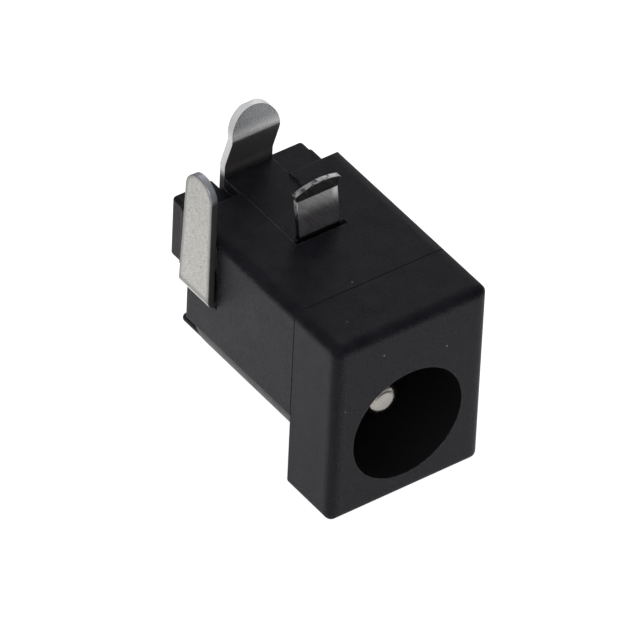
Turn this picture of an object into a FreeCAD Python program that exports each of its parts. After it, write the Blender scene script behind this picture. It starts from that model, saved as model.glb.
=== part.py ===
"""Board-mounted DC barrel jack, with a square front block and three stamped solder legs.

Millimetres. The origin is the point where the bore's axis meets the front face. +Y runs along
the bore towards the rear, +X is the width, and +Z points at the circuit board, so the solder
legs stand up. The jack lies on the floor of its front block and on its barrel.
"""
import FreeCAD, Part
import math
import os

# Moulded housing, outside
body_width = 9.0
axis_to_board = 6.6
axis_to_floor = 4.4
front_thickness = 3.5
body_length = 12.4
barrel_radius = 3.9
edge_radius = 0.4
front_edge_radius = 0.4
rear_edge_radius = 0.3
rear_corner_radius = 0.2
wall_foot_radius = 0.3
wall_edge_radius = 0.12
seam_width = 0.06
seam_depth = 0.04

# Moulded housing, bore
mouth_radius = 3.25
mouth_depth = 1.8
bore_radius = 3.0
bore_depth = 9.7

# Moulded housing, rear end
shoulder_length = 2.25
shoulder_half_width = 3.89
shoulder_drop = 0.75
shoulder_height = 3.7
shoulder_radius = 0.22
shoulder_step = 0.1
shoulder_step_length = 1.44
hood_radius = 3.88
hood_length = 2.05
hood_top = -1.84
hood_edge_radius = 0.25
hood_room = 0.4
hub_length = 1.35
hub_radius = 2.4

# Moulded housing, board side
tongue_half_width = 1.44
tongue_recess = 0.12
head_slot_half_width = 1.55
head_slot_shift = 0.07
head_slot_front_room = 0.3
head_slot_overlap = 0.06
leg_slot_side_clearance = 0.06
leg_slot_rear_clearance = 0.08

# Moulded housing, room for the leaf
board_wall = 1.1
rear_wall = 0.3
leaf_front_clearance = 0.25
leaf_side_clearance = 0.2
leaf_under_clearance = 0.3

# Moulded housing, side recess for the switch leg
recess_clearance = 0.19
recess_floor = 2.27
recess_top_drop = 0.5
recess_lean = 0.26
recess_depth = 0.6
tab_channel_room = 0.36

# Centre pin
pin_radius = 1.0
pin_recess = 1.9
pin_tip_rounding = 0.5
pin_shank_radius = 1.25
pin_shank_clearance = 0.02
spigot_radius = 0.7
spigot_clearance = 0.02
rivet_radius = 1.2
rivet_height = 0.3
rivet_edge_radius = 0.14

# Rear terminal, riveted to the pin
rear_thickness = 0.4
rear_leg_width = 2.86
rear_disc_radius = 2.0
rear_leg_shift = 0.04
rear_bend_rise = 0.6
rear_crease_rise = 1.85
rear_crease_forward = 0.56
rear_head_rise = 1.48
rear_head_back = 0.42
rear_bend_radius = 0.8
rear_slot_clearance = 0.22

# Spring contact, leg and leaf in one strip
spring_thickness = 0.3
spring_width = 2.4
spring_leg_shift = 0.14
spring_leg_front = 7.9
spring_crease_rise = 2.0
spring_crease_back = 0.35
spring_head_rise = 0.82
spring_tip_forward = 0.1
spring_head_width = 2.75
spring_head_sagitta = 0.33
spring_head_tilt = 0.2
spring_head_corner = 0.15
spring_leg_bend_radius = 0.6
spring_slot_bend_radius = 0.45
hairpin_front = 4.45
hairpin_drop = 1.6
hairpin_bend_radius = 0.72
leaf_rise_length = 1.45
sleeve_radius = 2.75
contact_preload = 0.25
leaf_end_clearance = 0.3
leaf_landing_lead = 0.3
leaf_bend_radius = 1.2

# Switch contact, side leg and inner tab in one strip
switch_thickness = 0.36
switch_leg_setback = 2.45
switch_leg_width = 2.47
switch_leg_taper = 0.3
switch_wall_gap = 0.06
switch_straight_rise = 2.35
switch_tip_rise = 1.01
switch_tab_rear_clearance = 0.05
switch_tab_end = 1.2
switch_fold_radius = 0.16
switch_tab_clearance = 0.1
switch_foot_radius = 0.3

# Places that follow from the sizes above
overall_length = body_length + shoulder_length
terminal_seat = body_length + hub_length
hood_end = body_length + hood_length
shoulder_top = axis_to_board - shoulder_drop
leaf_room_front = hairpin_front - leaf_front_clearance
leaf_room_rear = body_length - rear_wall
leaf_room_roof = axis_to_board - board_wall
leaf_end_y = leaf_room_rear - leaf_end_clearance
switch_leg_front = body_length - switch_leg_setback
leaf_landing_y = switch_leg_front - leaf_landing_lead
contact_bow_y = leaf_landing_y - leaf_rise_length
head_slot_front = spring_leg_front - head_slot_front_room
head_slot_rear = spring_leg_front + head_slot_overlap
leg_slot_rear = spring_leg_front + spring_thickness + leg_slot_rear_clearance
recess_front = switch_leg_front - recess_clearance
recess_top = axis_to_board - recess_top_drop
rear_leg_bend = axis_to_board + rear_bend_rise
rear_crease_height = rear_leg_bend + rear_crease_rise
rear_head_top = rear_crease_height + rear_head_rise
spring_crease_height = axis_to_board + spring_crease_rise
spring_tip_height = spring_crease_height + spring_head_rise
switch_straight_top = axis_to_board + switch_straight_rise
switch_tip_height = switch_straight_top + switch_tip_rise

# Room added to cutters so that they run clean past the faces that they open
OVERCUT = 1.0


def V(x, y, z):
    """Point or direction."""
    return FreeCAD.Vector(x, y, z)


def block(x, y, z):
    """Box between two limits along each axis."""
    size = [high - low for low, high in (x, y, z)]
    return Part.makeBox(size[0], size[1], size[2], V(x[0], y[0], z[0]))


def wide(half, centre=0.0):
    """Limits of a span that is symmetric about a centre."""
    return centre - half, centre + half


def rod(radius, start, end):
    """Cylinder on the bore's axis."""
    return Part.makeCylinder(radius, end - start, V(0, start, 0), V(0, 1, 0))


def rounded(shape, radius, test):
    """Fillet the straight edges whose middle and direction pass a test."""
    picked = []
    for edge in shape.Edges:
        if not isinstance(edge.Curve, Part.Line):
            continue
        ends = [vertex.Point for vertex in edge.Vertexes]
        middle = (ends[0] + ends[1]) * 0.5
        direction = (ends[1] - ends[0]).normalize()
        if test(middle, direction):
            picked.append(edge)
    return shape.makeFillet(radius, picked)


def along(direction, axis):
    """Whether an edge's direction is that of an axis."""
    return abs(abs(direction[axis]) - 1.0) < 1e-6


def at(value, target):
    """Whether a coordinate lies at a size."""
    return abs(value - target) < 1e-6


def prism(points, axis, start, end):
    """Straight prism over a closed outline of points in the plane across an axis."""
    placed = []
    for first, second in points:
        if axis == 0:
            placed.append(V(start, first, second))
        else:
            placed.append(V(first, start, second))
    face = Part.Face(Part.makePolygon(placed + placed[:1]))
    step = V(end - start, 0, 0) if axis == 0 else V(0, end - start, 0)
    return face.extrude(step)


def block_section(inset, start, end):
    """Straight length of the front block's cross-section, drawn in by an inset."""
    sides = wide(body_width / 2 - inset)
    shape = block(sides, (start, end), (-axis_to_floor + inset, axis_to_board - inset))
    return rounded(shape, edge_radius - inset, lambda middle, way: along(way, 1))


def front_block():
    """Square block that stands in the panel's cut-out."""
    shape = block_section(0, 0, front_thickness)
    rim = [edge for edge in shape.Edges if all(at(v.Point.y, 0) for v in edge.Vertexes)]
    return shape.makeFillet(front_edge_radius, rim)


def rear_body():
    """Box of the rear body with the half-round barrel below the bore's axis.

    Its roundings differ from edge to edge, so it is what three rounded boxes have in common: one
    seen from the rear, one seen from the side and one seen from the board.
    """
    box = block(wide(body_width / 2), (front_thickness, body_length), (0, axis_to_board))
    upper = lambda middle, way: at(middle.z, axis_to_board) and along(way, 1)
    lower = lambda middle, way: at(middle.z, 0) and along(way, 1)
    upper_rear = lambda middle, way: at(middle.z, axis_to_board) and at(middle.y, body_length)
    lower_rear = lambda middle, way: at(middle.z, 0) and at(middle.y, body_length)
    corner = lambda middle, way: along(way, 2) and at(middle.y, body_length)
    section = rounded(rounded(box, edge_radius, upper), wall_edge_radius, lower)
    side = rounded(rounded(box, rear_edge_radius, upper_rear), wall_foot_radius, lower_rear)
    plan = rounded(box, rear_corner_radius, corner)
    shape = section.common(side).common(plan)
    return shape.fuse(rod(barrel_radius, front_thickness, body_length))


def seam_cutter():
    """Fine groove round the body, where the front block's mould half meets the rear one's."""
    start, end = wide(seam_width / 2, front_thickness)
    reach = body_width + axis_to_board
    around = block(wide(reach), (start, end), (0, reach))
    return around.cut(block_section(seam_depth, start, end))


def shoulders():
    """Two blocks at the rear that guard the rear terminal, in one bar before its slot is cut."""
    height = (shoulder_top - shoulder_height, shoulder_top)
    bar = block(wide(shoulder_half_width), (body_length, overall_length), height)
    outer = lambda middle, way: not at(middle.y, body_length) and not along(way, 0)
    bar = rounded(bar, shoulder_radius, lambda m, w: outer(m, w) or at(m.y, overall_length))
    step_end = body_length + shoulder_step_length
    step = block(wide(shoulder_half_width + shoulder_step), (body_length, step_end), height)
    step = rounded(step, shoulder_radius, outer)
    return bar.fuse(step)


def rivet_hub():
    """Round hub and upright rib that carry the pin behind the rear wall.

    The rib starts inside the rear wall, so the tongue on top of it runs on without a groove.
    """
    rib_height = (0, axis_to_board - tongue_recess)
    rib_depth = (body_length - rear_edge_radius, terminal_seat)
    rib = block(wide(tongue_half_width), rib_depth, rib_height)
    return rib.fuse(rod(hub_radius, body_length, terminal_seat))


def rivet_hood():
    """Segment of the barrel that reaches back over the rivet on the side away from the board."""
    reach = barrel_radius + OVERCUT
    keep = block(wide(reach), (body_length, hood_end), (-reach, hood_top))
    shell = rod(hood_radius, body_length, hood_end)
    room = rod(rear_disc_radius + hood_room, terminal_seat, hood_end + OVERCUT)
    shell = rounded(shell.common(keep), hood_edge_radius, lambda m, w: along(w, 1) and at(m.z, hood_top))
    rim = [edge for edge in shell.Edges if all(at(v.Point.y, hood_end) for v in edge.Vertexes)]
    return shell.makeFillet(hood_edge_radius, rim).cut(room)


def bore_cutter():
    """Mouth, bore that tapers as a core pin does, and the seat of the centre pin's shank."""
    mouth = rod(mouth_radius, -OVERCUT, mouth_depth)
    taper_length = bore_depth - mouth_depth
    bore = Part.makeCone(mouth_radius, bore_radius, taper_length, V(0, mouth_depth, 0), V(0, 1, 0))
    seat_radius = pin_shank_radius + pin_shank_clearance
    seat = rod(seat_radius, bore_depth - OVERCUT, terminal_seat + OVERCUT)
    return mouth.fuse([bore, seat])


def leaf_cutter():
    """Room for the hairpin and the leaf, with the opening that its leg stands in.

    The head of the leg passes through the wider slot, and then the leg moves back into a notch.
    """
    across = wide(spring_width / 2 + leaf_side_clearance, spring_leg_shift)
    low_front = sleeve_radius - contact_preload - leaf_under_clearance
    front_room = block(across, (leaf_room_front, bore_depth), (low_front, leaf_room_roof))
    rear_room = block(across, (bore_depth - OVERCUT, leaf_room_rear), (recess_floor, leaf_room_roof))
    height = (leaf_room_roof - OVERCUT, axis_to_board + OVERCUT)
    head_across = wide(head_slot_half_width, head_slot_shift)
    head_slot = block(head_across, (head_slot_front, head_slot_rear), height)
    leg_across = wide(spring_width / 2 + leg_slot_side_clearance, spring_leg_shift)
    leg_slot = block(leg_across, (head_slot_front, leg_slot_rear), height)
    return front_room.fuse([rear_room, head_slot, leg_slot])


def tongue_cutter():
    """Shallow channel along the board side, from the head's slot to the rear end."""
    depth = (head_slot_rear, body_length + OVERCUT)
    height = (axis_to_board - tongue_recess, axis_to_board + OVERCUT)
    return block(wide(tongue_half_width), depth, height)


def side_cutter():
    """Recess in the left wall behind the switch leg, and the channel for its inner tab."""
    wall = -body_width / 2
    outline = [
        (recess_front, recess_floor),
        (body_length + OVERCUT, recess_floor),
        (body_length + OVERCUT, recess_top),
        (recess_front + recess_lean, recess_top),
    ]
    recess = prism(outline, 0, wall - OVERCUT, wall + recess_depth)
    channel = block(
        (wall - OVERCUT, switch_tab_end + switch_tab_clearance),
        (switch_leg_front - switch_tab_clearance, leaf_room_rear),
        (recess_floor, recess_floor + switch_thickness + tab_channel_room),
    )
    in_body = block((wall - OVERCUT, 0), (0, body_length), (0, axis_to_board))
    return recess.common(in_body).fuse(channel)


def terminal_cutter():
    """Slot between the shoulder blocks for the rear terminal."""
    half = rear_leg_width / 2 + rear_slot_clearance
    depth = (terminal_seat, overall_length + OVERCUT)
    bottom = shoulder_top - shoulder_height - OVERCUT
    return block(wide(half, rear_leg_shift), depth, (bottom, axis_to_board))


def housing():
    """The one-piece moulding."""
    shape = front_block().fuse([rear_body(), shoulders(), rivet_hub(), rivet_hood()])
    inner = [bore_cutter(), leaf_cutter()]
    outer = [seam_cutter(), tongue_cutter(), side_cutter(), terminal_cutter()]
    return shape.cut(inner + outer).removeSplitter()


def quarter_turn(radius, end, side):
    """Rounding of a turned end, from the end face at one height to the side at another."""
    size = abs(side - end)
    way = math.copysign(1, side - end)
    centre = V(radius - size, side, 0)
    middle = centre + V(size * math.sin(math.pi / 4), -way * size * math.cos(math.pi / 4), 0)
    return Part.Arc(V(radius - size, end, 0), middle, V(radius, side, 0)).toShape()


def centre_pin():
    """Turned pin: rounded tip, press shank, spigot and peened rivet head."""
    tip = pin_recess
    rounding = pin_tip_rounding
    rivet_start = terminal_seat + rear_thickness
    rivet_end = rivet_start + rivet_height
    tip_arc = quarter_turn(pin_radius, tip, tip + rounding)
    rivet_arc = quarter_turn(rivet_radius, rivet_end, rivet_end - rivet_edge_radius)
    corners = [
        V(pin_radius, tip + rounding, 0),
        V(pin_radius, bore_depth, 0),
        V(pin_shank_radius, bore_depth, 0),
        V(pin_shank_radius, terminal_seat, 0),
        V(spigot_radius, terminal_seat, 0),
        V(spigot_radius, rivet_start, 0),
        V(rivet_radius, rivet_start, 0),
        V(rivet_radius, rivet_end - rivet_edge_radius, 0),
    ]
    edges = [Part.makeLine(V(0, tip, 0), V(pin_radius - rounding, tip, 0)), tip_arc]
    for start, end in zip(corners, corners[1:]):
        edges.append(Part.makeLine(start, end))
    edges.append(rivet_arc)
    edges.append(Part.makeLine(V(rivet_radius - rivet_edge_radius, rivet_end, 0), V(0, rivet_end, 0)))
    edges.append(Part.makeLine(V(0, rivet_end, 0), V(0, tip, 0)))
    face = Part.Face(Part.Wire(Part.__sortEdges__(edges)))
    return face.revolve(V(0, 0, 0), V(0, 1, 0), 360)


def bent_strip(points, radii, thickness, width, place):
    """Strip of sheet folded along a path, with a bend radius at each corner of its middle line.

    The path is a list of pairs in a plane. width is the strip's limits across that plane, and
    place(first, second, across) puts a point of the plane into space.
    """
    path = [V(first, second, 0) for first, second in points]
    edges = []
    ends = {"start": [], "finish": []}
    for side in (1, -1):
        offset = side * thickness / 2
        first_way = (path[1] - path[0]).normalize()
        here = path[0] + V(-first_way.y, first_way.x, 0) * offset
        ends["start"].append(here)
        for index, radius in enumerate(radii, 1):
            before = (path[index] - path[index - 1]).normalize()
            after = (path[index + 1] - path[index]).normalize()
            turn = math.atan2(before.x * after.y - before.y * after.x, before.dot(after))
            sense = math.copysign(1, turn)
            tangent = before * (radius * math.tan(abs(turn) / 2))
            centre = path[index] - tangent + V(-before.y, before.x, 0) * (sense * radius)
            reach = radius - sense * offset
            bend_start = centre - V(-before.y, before.x, 0) * (sense * reach)
            bend_middle = centre + (path[index] - centre).normalize() * reach
            bend_end = centre - V(-after.y, after.x, 0) * (sense * reach)
            edges.append(("line", here, bend_start))
            edges.append(("arc", bend_start, bend_middle, bend_end))
            here = bend_end
        last_way = (path[-1] - path[-2]).normalize()
        finish = path[-1] + V(-last_way.y, last_way.x, 0) * offset
        edges.append(("line", here, finish))
        ends["finish"].append(finish)
    edges.append(("line", *ends["start"]))
    edges.append(("line", *ends["finish"]))
    placed = []
    for kind, *corners in edges:
        spots = [place(corner.x, corner.y, width[0]) for corner in corners]
        placed.append(Part.makeLine(*spots) if kind == "line" else Part.Arc(*spots).toShape())
    face = Part.Face(Part.Wire(Part.__sortEdges__(placed)))
    return face.extrude(place(0, 0, width[1]) - place(0, 0, width[0]))


def side_view(y, z, across):
    """Place a strip whose folds are seen from the side."""
    return V(across, y, z)


def front_view(x, z, across):
    """Place a strip whose folds are seen from the front."""
    return V(x, across, z)


def sheet_outline(edges, start, end):
    """Prism along the bore's axis over an outline that is seen from the front."""
    face = Part.Face(Part.Wire(Part.__sortEdges__(edges)))
    face.translate(V(0, start, 0))
    return face.extrude(V(0, end - start, 0))


def rear_terminal():
    """Kinked strip with a round head, and a disc with the rivet hole at its lower end."""
    middle = terminal_seat + rear_thickness / 2
    crease = middle - rear_crease_forward
    path = [
        (middle, -rear_disc_radius),
        (middle, rear_leg_bend),
        (crease, rear_crease_height),
        (crease + rear_head_back, rear_head_top),
    ]
    bends = [rear_bend_radius, rear_bend_radius]
    sheet = bent_strip(path, bends, rear_thickness, wide(rear_disc_radius), side_view)
    half = rear_leg_width / 2
    left, right = wide(half, rear_leg_shift)
    shoulder = rear_head_top - half
    head = Part.Arc(V(left, 0, shoulder), V(rear_leg_shift, 0, rear_head_top), V(right, 0, shoulder))
    outline = [
        Part.makeLine(V(left, 0, 0), V(left, 0, shoulder)),
        head.toShape(),
        Part.makeLine(V(right, 0, shoulder), V(right, 0, 0)),
        Part.makeLine(V(right, 0, 0), V(left, 0, 0)),
    ]
    reach = (body_length, overall_length + OVERCUT)
    strip = sheet_outline(outline, reach[0], reach[1])
    disc = rod(rear_disc_radius, reach[0], reach[1])
    hole = rod(spigot_radius + spigot_clearance, reach[0], reach[1])
    return sheet.common(strip.fuse(disc)).cut(hole).removeSplitter()


def spring_contact():
    """Leg, hairpin and leaf in one strip. The leaf bows into the bore and ends on the tab."""
    half_sheet = spring_thickness / 2
    leg = spring_leg_front + half_sheet
    arm = leaf_room_roof - half_sheet
    crease = leg + spring_crease_back
    landing = recess_floor + switch_thickness + half_sheet
    hairpin = hairpin_front + half_sheet
    path = [
        (crease - spring_tip_forward, spring_tip_height),
        (crease, spring_crease_height),
        (leg, axis_to_board),
        (leg, arm),
        (hairpin, arm),
        (hairpin, arm - hairpin_drop),
        (contact_bow_y, sleeve_radius - contact_preload + half_sheet),
        (leaf_landing_y, landing),
        (leaf_end_y, landing),
    ]
    leg_bends = [spring_leg_bend_radius, spring_leg_bend_radius, spring_slot_bend_radius]
    radii = leg_bends + 2 * [hairpin_bend_radius] + 2 * [leaf_bend_radius]
    half_head = spring_head_width / 2
    sheet = bent_strip(path, radii, spring_thickness, wide(half_head, spring_leg_shift), side_view)
    left, right = wide(spring_width / 2, spring_leg_shift)
    head_left, head_right = wide(half_head, spring_leg_shift)
    corner = spring_tip_height - spring_head_sagitta
    low_corner = corner - spring_head_tilt / 2
    high_corner = corner + spring_head_tilt / 2
    tip = Part.Arc(
        V(head_left, 0, low_corner),
        V(spring_leg_shift, 0, spring_tip_height),
        V(head_right, 0, high_corner),
    )
    outline = [
        Part.makeLine(V(left, 0, 0), V(left, 0, spring_crease_height)),
        Part.makeLine(V(left, 0, spring_crease_height), V(head_left, 0, low_corner)),
        tip.toShape(),
        Part.makeLine(V(head_right, 0, high_corner), V(right, 0, spring_crease_height)),
        Part.makeLine(V(right, 0, spring_crease_height), V(right, 0, 0)),
        Part.makeLine(V(right, 0, 0), V(left, 0, 0)),
    ]
    profile = sheet_outline(outline, 0, body_length)
    corner = lambda middle, way: along(way, 1) and middle.z > spring_crease_height + spring_head_corner
    profile = rounded(profile, spring_head_corner, corner)
    return sheet.common(profile).removeSplitter()


def switch_contact():
    """Side leg with a round tip, folded in under its foot to a tab below the leaf."""
    wall = -body_width / 2
    plate = wall - switch_wall_gap - switch_thickness / 2
    tab = recess_floor + switch_thickness / 2
    leg_rear = switch_leg_front + switch_leg_width
    fold = switch_fold_radius + switch_thickness / 2
    path = [(plate, switch_tip_height), (plate, tab), (switch_tab_end, tab)]
    depth = (switch_leg_front, leg_rear)
    sheet = bent_strip(path, [fold], switch_thickness, depth, front_view)
    inner = plate + fold
    narrow = block(
        (inner, switch_tab_end + OVERCUT),
        (leaf_room_rear - switch_tab_rear_clearance, leg_rear + OVERCUT),
        (0, axis_to_board),
    )
    tip_rear = leg_rear - switch_leg_taper
    middle = (switch_leg_front + tip_rear) / 2
    foot = recess_floor
    corner = foot + switch_foot_radius
    bevel = switch_foot_radius * (1 - math.sin(math.pi / 4))
    outline = [
        Part.makeLine(V(0, switch_leg_front, foot), V(0, switch_leg_front, switch_straight_top)),
        Part.Arc(
            V(0, switch_leg_front, switch_straight_top),
            V(0, middle, switch_tip_height),
            V(0, tip_rear, switch_straight_top),
        ).toShape(),
        Part.makeLine(V(0, tip_rear, switch_straight_top), V(0, leg_rear, corner)),
        Part.Arc(
            V(0, leg_rear, corner),
            V(0, leg_rear - bevel, foot + bevel),
            V(0, leg_rear - switch_foot_radius, foot),
        ).toShape(),
        Part.makeLine(V(0, leg_rear - switch_foot_radius, foot), V(0, switch_leg_front, foot)),
    ]
    face = Part.Face(Part.Wire(outline))
    face.translate(V(-body_width, 0, 0))
    profile = face.extrude(V(2 * body_width, 0, 0))
    return sheet.cut(narrow).common(profile).removeSplitter()


def main():
    """Write one file for each piece."""
    os.makedirs("parts", exist_ok=True)
    pieces = {
        "housing": housing(),
        "centre_pin": centre_pin(),
        "rear_terminal": rear_terminal(),
        "spring_contact": spring_contact(),
        "switch_contact": switch_contact(),
    }
    for name, shape in pieces.items():
        solids = shape.Solids
        print(name, "solids", len(solids), "valid", shape.isValid(), "volume", round(shape.Volume, 3))
        solids[0].exportStep(os.path.join("parts", name + ".step"))


main()
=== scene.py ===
# %% [markdown]
# A small DC barrel jack, dressed for its portrait
#
# The part is a black plastic socket for a round power plug. A metal pin stands in the middle of its
# bore, and flat solder legs come out of it towards the circuit board. Everything here is in metres,
# in the frame of the engineering model: the origin is where the bore meets the front face, +Y runs
# to the rear and +Z points at the board. The whole part is only 15 mm long, so sizes are written in
# millimetres and multiplied by MM.

import math
from types import SimpleNamespace

import bpy
from mathutils import Matrix, Vector


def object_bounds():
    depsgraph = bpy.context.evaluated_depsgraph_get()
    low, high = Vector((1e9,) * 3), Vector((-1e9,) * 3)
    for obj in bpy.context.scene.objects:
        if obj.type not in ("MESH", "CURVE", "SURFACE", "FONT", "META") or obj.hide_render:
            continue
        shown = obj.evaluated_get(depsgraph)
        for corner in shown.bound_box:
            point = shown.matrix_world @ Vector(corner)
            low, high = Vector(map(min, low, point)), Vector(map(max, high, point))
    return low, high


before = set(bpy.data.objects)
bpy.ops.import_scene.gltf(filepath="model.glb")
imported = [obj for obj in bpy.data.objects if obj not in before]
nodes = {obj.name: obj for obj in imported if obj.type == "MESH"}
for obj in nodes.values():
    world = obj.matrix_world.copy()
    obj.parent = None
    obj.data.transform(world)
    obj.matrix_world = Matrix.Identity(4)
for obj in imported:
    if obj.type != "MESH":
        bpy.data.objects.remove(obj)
cad_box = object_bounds()
MM = 0.001
print("nodes:", sorted(nodes))

# %% [markdown]
# The camera
#
# The photograph was taken from the front left, well above the part, with a long lens from about half
# a metre. A long lens hardly shrinks what is further off, which is why opposite edges of the block
# look almost parallel. The camera looks at a point inside the body and is rolled a little, as a hand
# on a tripod head leaves it.

# %% Place the camera
VIEW_AZIMUTH = math.radians(-37.44)
VIEW_ELEVATION = math.radians(40.727)
VIEW_ROLL = math.radians(2.788)
VIEW_DISTANCE = 490.09 * MM
AIM = Vector((0.0, 6.0, 1.6)) * MM
AIM_RIGHT = -0.807 * MM
AIM_UP = 0.496 * MM
LENS = 566.57
NEAREST_SEEN = 0.01
FURTHEST_SEEN = 20.0


def place_camera():
    """Camera with its axes worked out from azimuth, elevation and roll."""
    level = math.cos(VIEW_ELEVATION)
    back = Vector((
        math.sin(VIEW_AZIMUTH) * level,
        -math.cos(VIEW_AZIMUTH) * level,
        math.sin(VIEW_ELEVATION),
    ))
    flat_right = Vector((math.cos(VIEW_AZIMUTH), math.sin(VIEW_AZIMUTH), 0.0))
    flat_up = back.cross(flat_right)
    cosine, sine = math.cos(VIEW_ROLL), math.sin(VIEW_ROLL)
    right = flat_right * cosine + flat_up * sine
    up = flat_up * cosine - flat_right * sine
    data = bpy.data.cameras.new("camera")
    data.lens = LENS
    data.clip_start = NEAREST_SEEN
    data.clip_end = FURTHEST_SEEN
    camera = bpy.data.objects.new("camera", data)
    bpy.context.scene.collection.objects.link(camera)
    place = AIM + right * AIM_RIGHT + up * AIM_UP + back * VIEW_DISTANCE
    camera.matrix_world = Matrix.LocRotScale(place, Matrix((right, up, back)).transposed(), None)
    return camera


bpy.context.scene.camera = place_camera()
print("camera at", [round(value, 3) for value in bpy.context.scene.camera.location])

# %% [markdown]
# Node helpers
#
# A material is a small graph. Writing it by hand in code gets long, so a few helpers add a node, set
# its sockets and join it to others. A value that is a socket becomes a link, and any other value is
# written on the socket itself. The sums that come up again and again then get short names.

# %% Helpers that add and join nodes


def put(tree, kind, **settings):
    """Add a node and set its plain properties."""
    node = tree.nodes.new(kind)
    for name, value in settings.items():
        setattr(node, name, value)
    return node


def join(tree, socket, value):
    """Link a socket to another one, or write a plain value on it."""
    if isinstance(value, bpy.types.NodeSocket):
        tree.links.new(value, socket)
    else:
        socket.default_value = value


def feed(tree, node, **sockets):
    """Join a node's inputs, named with underscores for spaces."""
    for name, value in sockets.items():
        join(tree, node.inputs[name.replace("_", " ")], value)
    return node


print("helpers that add and join nodes are ready")

# %% Helpers for sums


def maths(tree, operation, first, second=0.0, third=0.0, clamp=False):
    """A Math node with up to three inputs, each a number or a socket."""
    node = put(tree, "ShaderNodeMath", operation=operation, use_clamp=clamp)
    for socket, value in zip(node.inputs, (first, second, third)):
        join(tree, socket, value)
    return node.outputs[0]


def times(tree, first, *factors):
    """The product of two or more values."""
    for factor in factors:
        first = maths(tree, "MULTIPLY", first, factor)
    return first


def minus(tree, first, second):
    """The first value less the second."""
    return maths(tree, "SUBTRACT", first, second)


def opposite(tree, mask):
    """0 where a mask is 1, and 1 where it is 0."""
    return minus(tree, 1.0, mask)


def gap_to(tree, value, level):
    """How far a value is from a level, on either side of it."""
    return maths(tree, "ABSOLUTE", minus(tree, value, level))


def ramp(tree, value, low, high, out_low=0.0, out_high=1.0):
    """Map a range of a value onto another range, clamped at both ends."""
    node = put(tree, "ShaderNodeMapRange")
    feed(tree, node, Value=value, From_Min=low, From_Max=high, To_Min=out_low, To_Max=out_high)
    return node.outputs["Result"]


def pick(tree, mask, off, on):
    """One value where a mask is 0 and another where it is 1."""
    return ramp(tree, mask, 0.0, 1.0, off, on)


print("helpers for sums are ready")

# %% Helpers for directions and places


def vector_maths(tree, operation, first, second=None):
    """A Vector Math node with one or two inputs, each a vector or a socket."""
    node = put(tree, "ShaderNodeVectorMath", operation=operation)
    join(tree, node.inputs[0], first)
    if second is not None:
        join(tree, node.inputs[1], second)
    return node


def axes(tree, vector):
    """The X, Y and Z of a vector."""
    split = feed(tree, put(tree, "ShaderNodeSeparateXYZ"), Vector=vector)
    return split.outputs["X"], split.outputs["Y"], split.outputs["Z"]


def flat_length(tree, first, second):
    """The length of the slanting side of a right-angled triangle."""
    sides = feed(tree, put(tree, "ShaderNodeCombineXYZ"), X=first, Y=second)
    return vector_maths(tree, "LENGTH", sides.outputs["Vector"]).outputs["Value"]


def facing(tree, axis):
    """How squarely the surface faces along an axis, from 0 to 1."""
    split = put(tree, "ShaderNodeSeparateXYZ")
    feed(tree, split, Vector=put(tree, "ShaderNodeNewGeometry").outputs["Normal"])
    return maths(tree, "ABSOLUTE", split.outputs[axis])


print("helpers for directions and places are ready")

# %% Helpers for colour, noise and relief


def grey(level):
    """An opaque grey."""
    return (level, level, level, 1.0)


def blend(tree, amount, first, second):
    """Mix two colours by an amount from 0 to 1."""
    node = put(tree, "ShaderNodeMix", data_type="RGBA")
    colour_inputs = [socket for socket in node.inputs if socket.type == "RGBA"]
    for socket, value in zip([node.inputs[0], *colour_inputs], (amount, first, second)):
        join(tree, socket, value)
    return next(socket for socket in node.outputs if socket.type == "RGBA")


def noise(tree, place, scale, **settings):
    """A noise texture's value."""
    texture = put(tree, "ShaderNodeTexNoise")
    return feed(tree, texture, Vector=place, Scale=scale, **settings).outputs["Fac"]


def relief(tree, height, strength, distance, normal):
    """A normal that is bent as if the surface had a height."""
    bump = put(tree, "ShaderNodeBump")
    feed(tree, bump, Height=height, Strength=strength, Distance=distance, Normal=normal)
    return bump.outputs["Normal"]


print("helpers for colour, noise and relief are ready")

# %% Helpers for groups and materials


def new_group(name, inputs, outputs):
    """An empty shader node group with named sockets, what comes into it and where it ends."""
    group = bpy.data.node_groups.new(name, "ShaderNodeTree")
    for label, kind, value in inputs:
        socket = group.interface.new_socket(name=label, in_out="INPUT", socket_type=kind)
        socket.default_value = value
    for label, kind in outputs:
        group.interface.new_socket(name=label, in_out="OUTPUT", socket_type=kind)
    source = group.nodes.new("NodeGroupInput").outputs
    sink = group.nodes.new("NodeGroupOutput")
    return group, source, sink


def use_group(tree, group, **sockets):
    """Place a group in a material with its own values."""
    node = put(tree, "ShaderNodeGroup")
    node.node_tree = group
    return feed(tree, node, **sockets)


def new_material(name):
    """A material with a Principled shader, and the object's own coordinates to draw patterns on."""
    material = bpy.data.materials.new(name)
    material.use_nodes = True
    tree = material.node_tree
    shader = tree.nodes["Principled BSDF"]
    place = put(tree, "ShaderNodeTexCoord").outputs["Object"]
    return material, tree, shader, place


print("helpers for groups and materials are ready")

# %% [markdown]
# Softened edges
#
# No real edge is perfectly sharp. A mould wears, a punch rolls the sheet's edge over, and handling
# rubs the corners pale. Each edge therefore has a thin line of its own that catches the light. The
# model could carry these roundings as faces, but they are a few hundredths of a millimetre wide, so
# the shader bends the normal near an edge instead. Where that bent normal parts from the true one
# there is an edge, and the difference is a mask along it. The black plastic uses it for rubbed wear
# together with a painted highlight, and the side leg for wear. Noise breaks the mask up.

# %% Shader group: softened edges
BEVEL_SAMPLES = 8
NO_TURN = 0.99
FULL_TURN = 0.85


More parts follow.
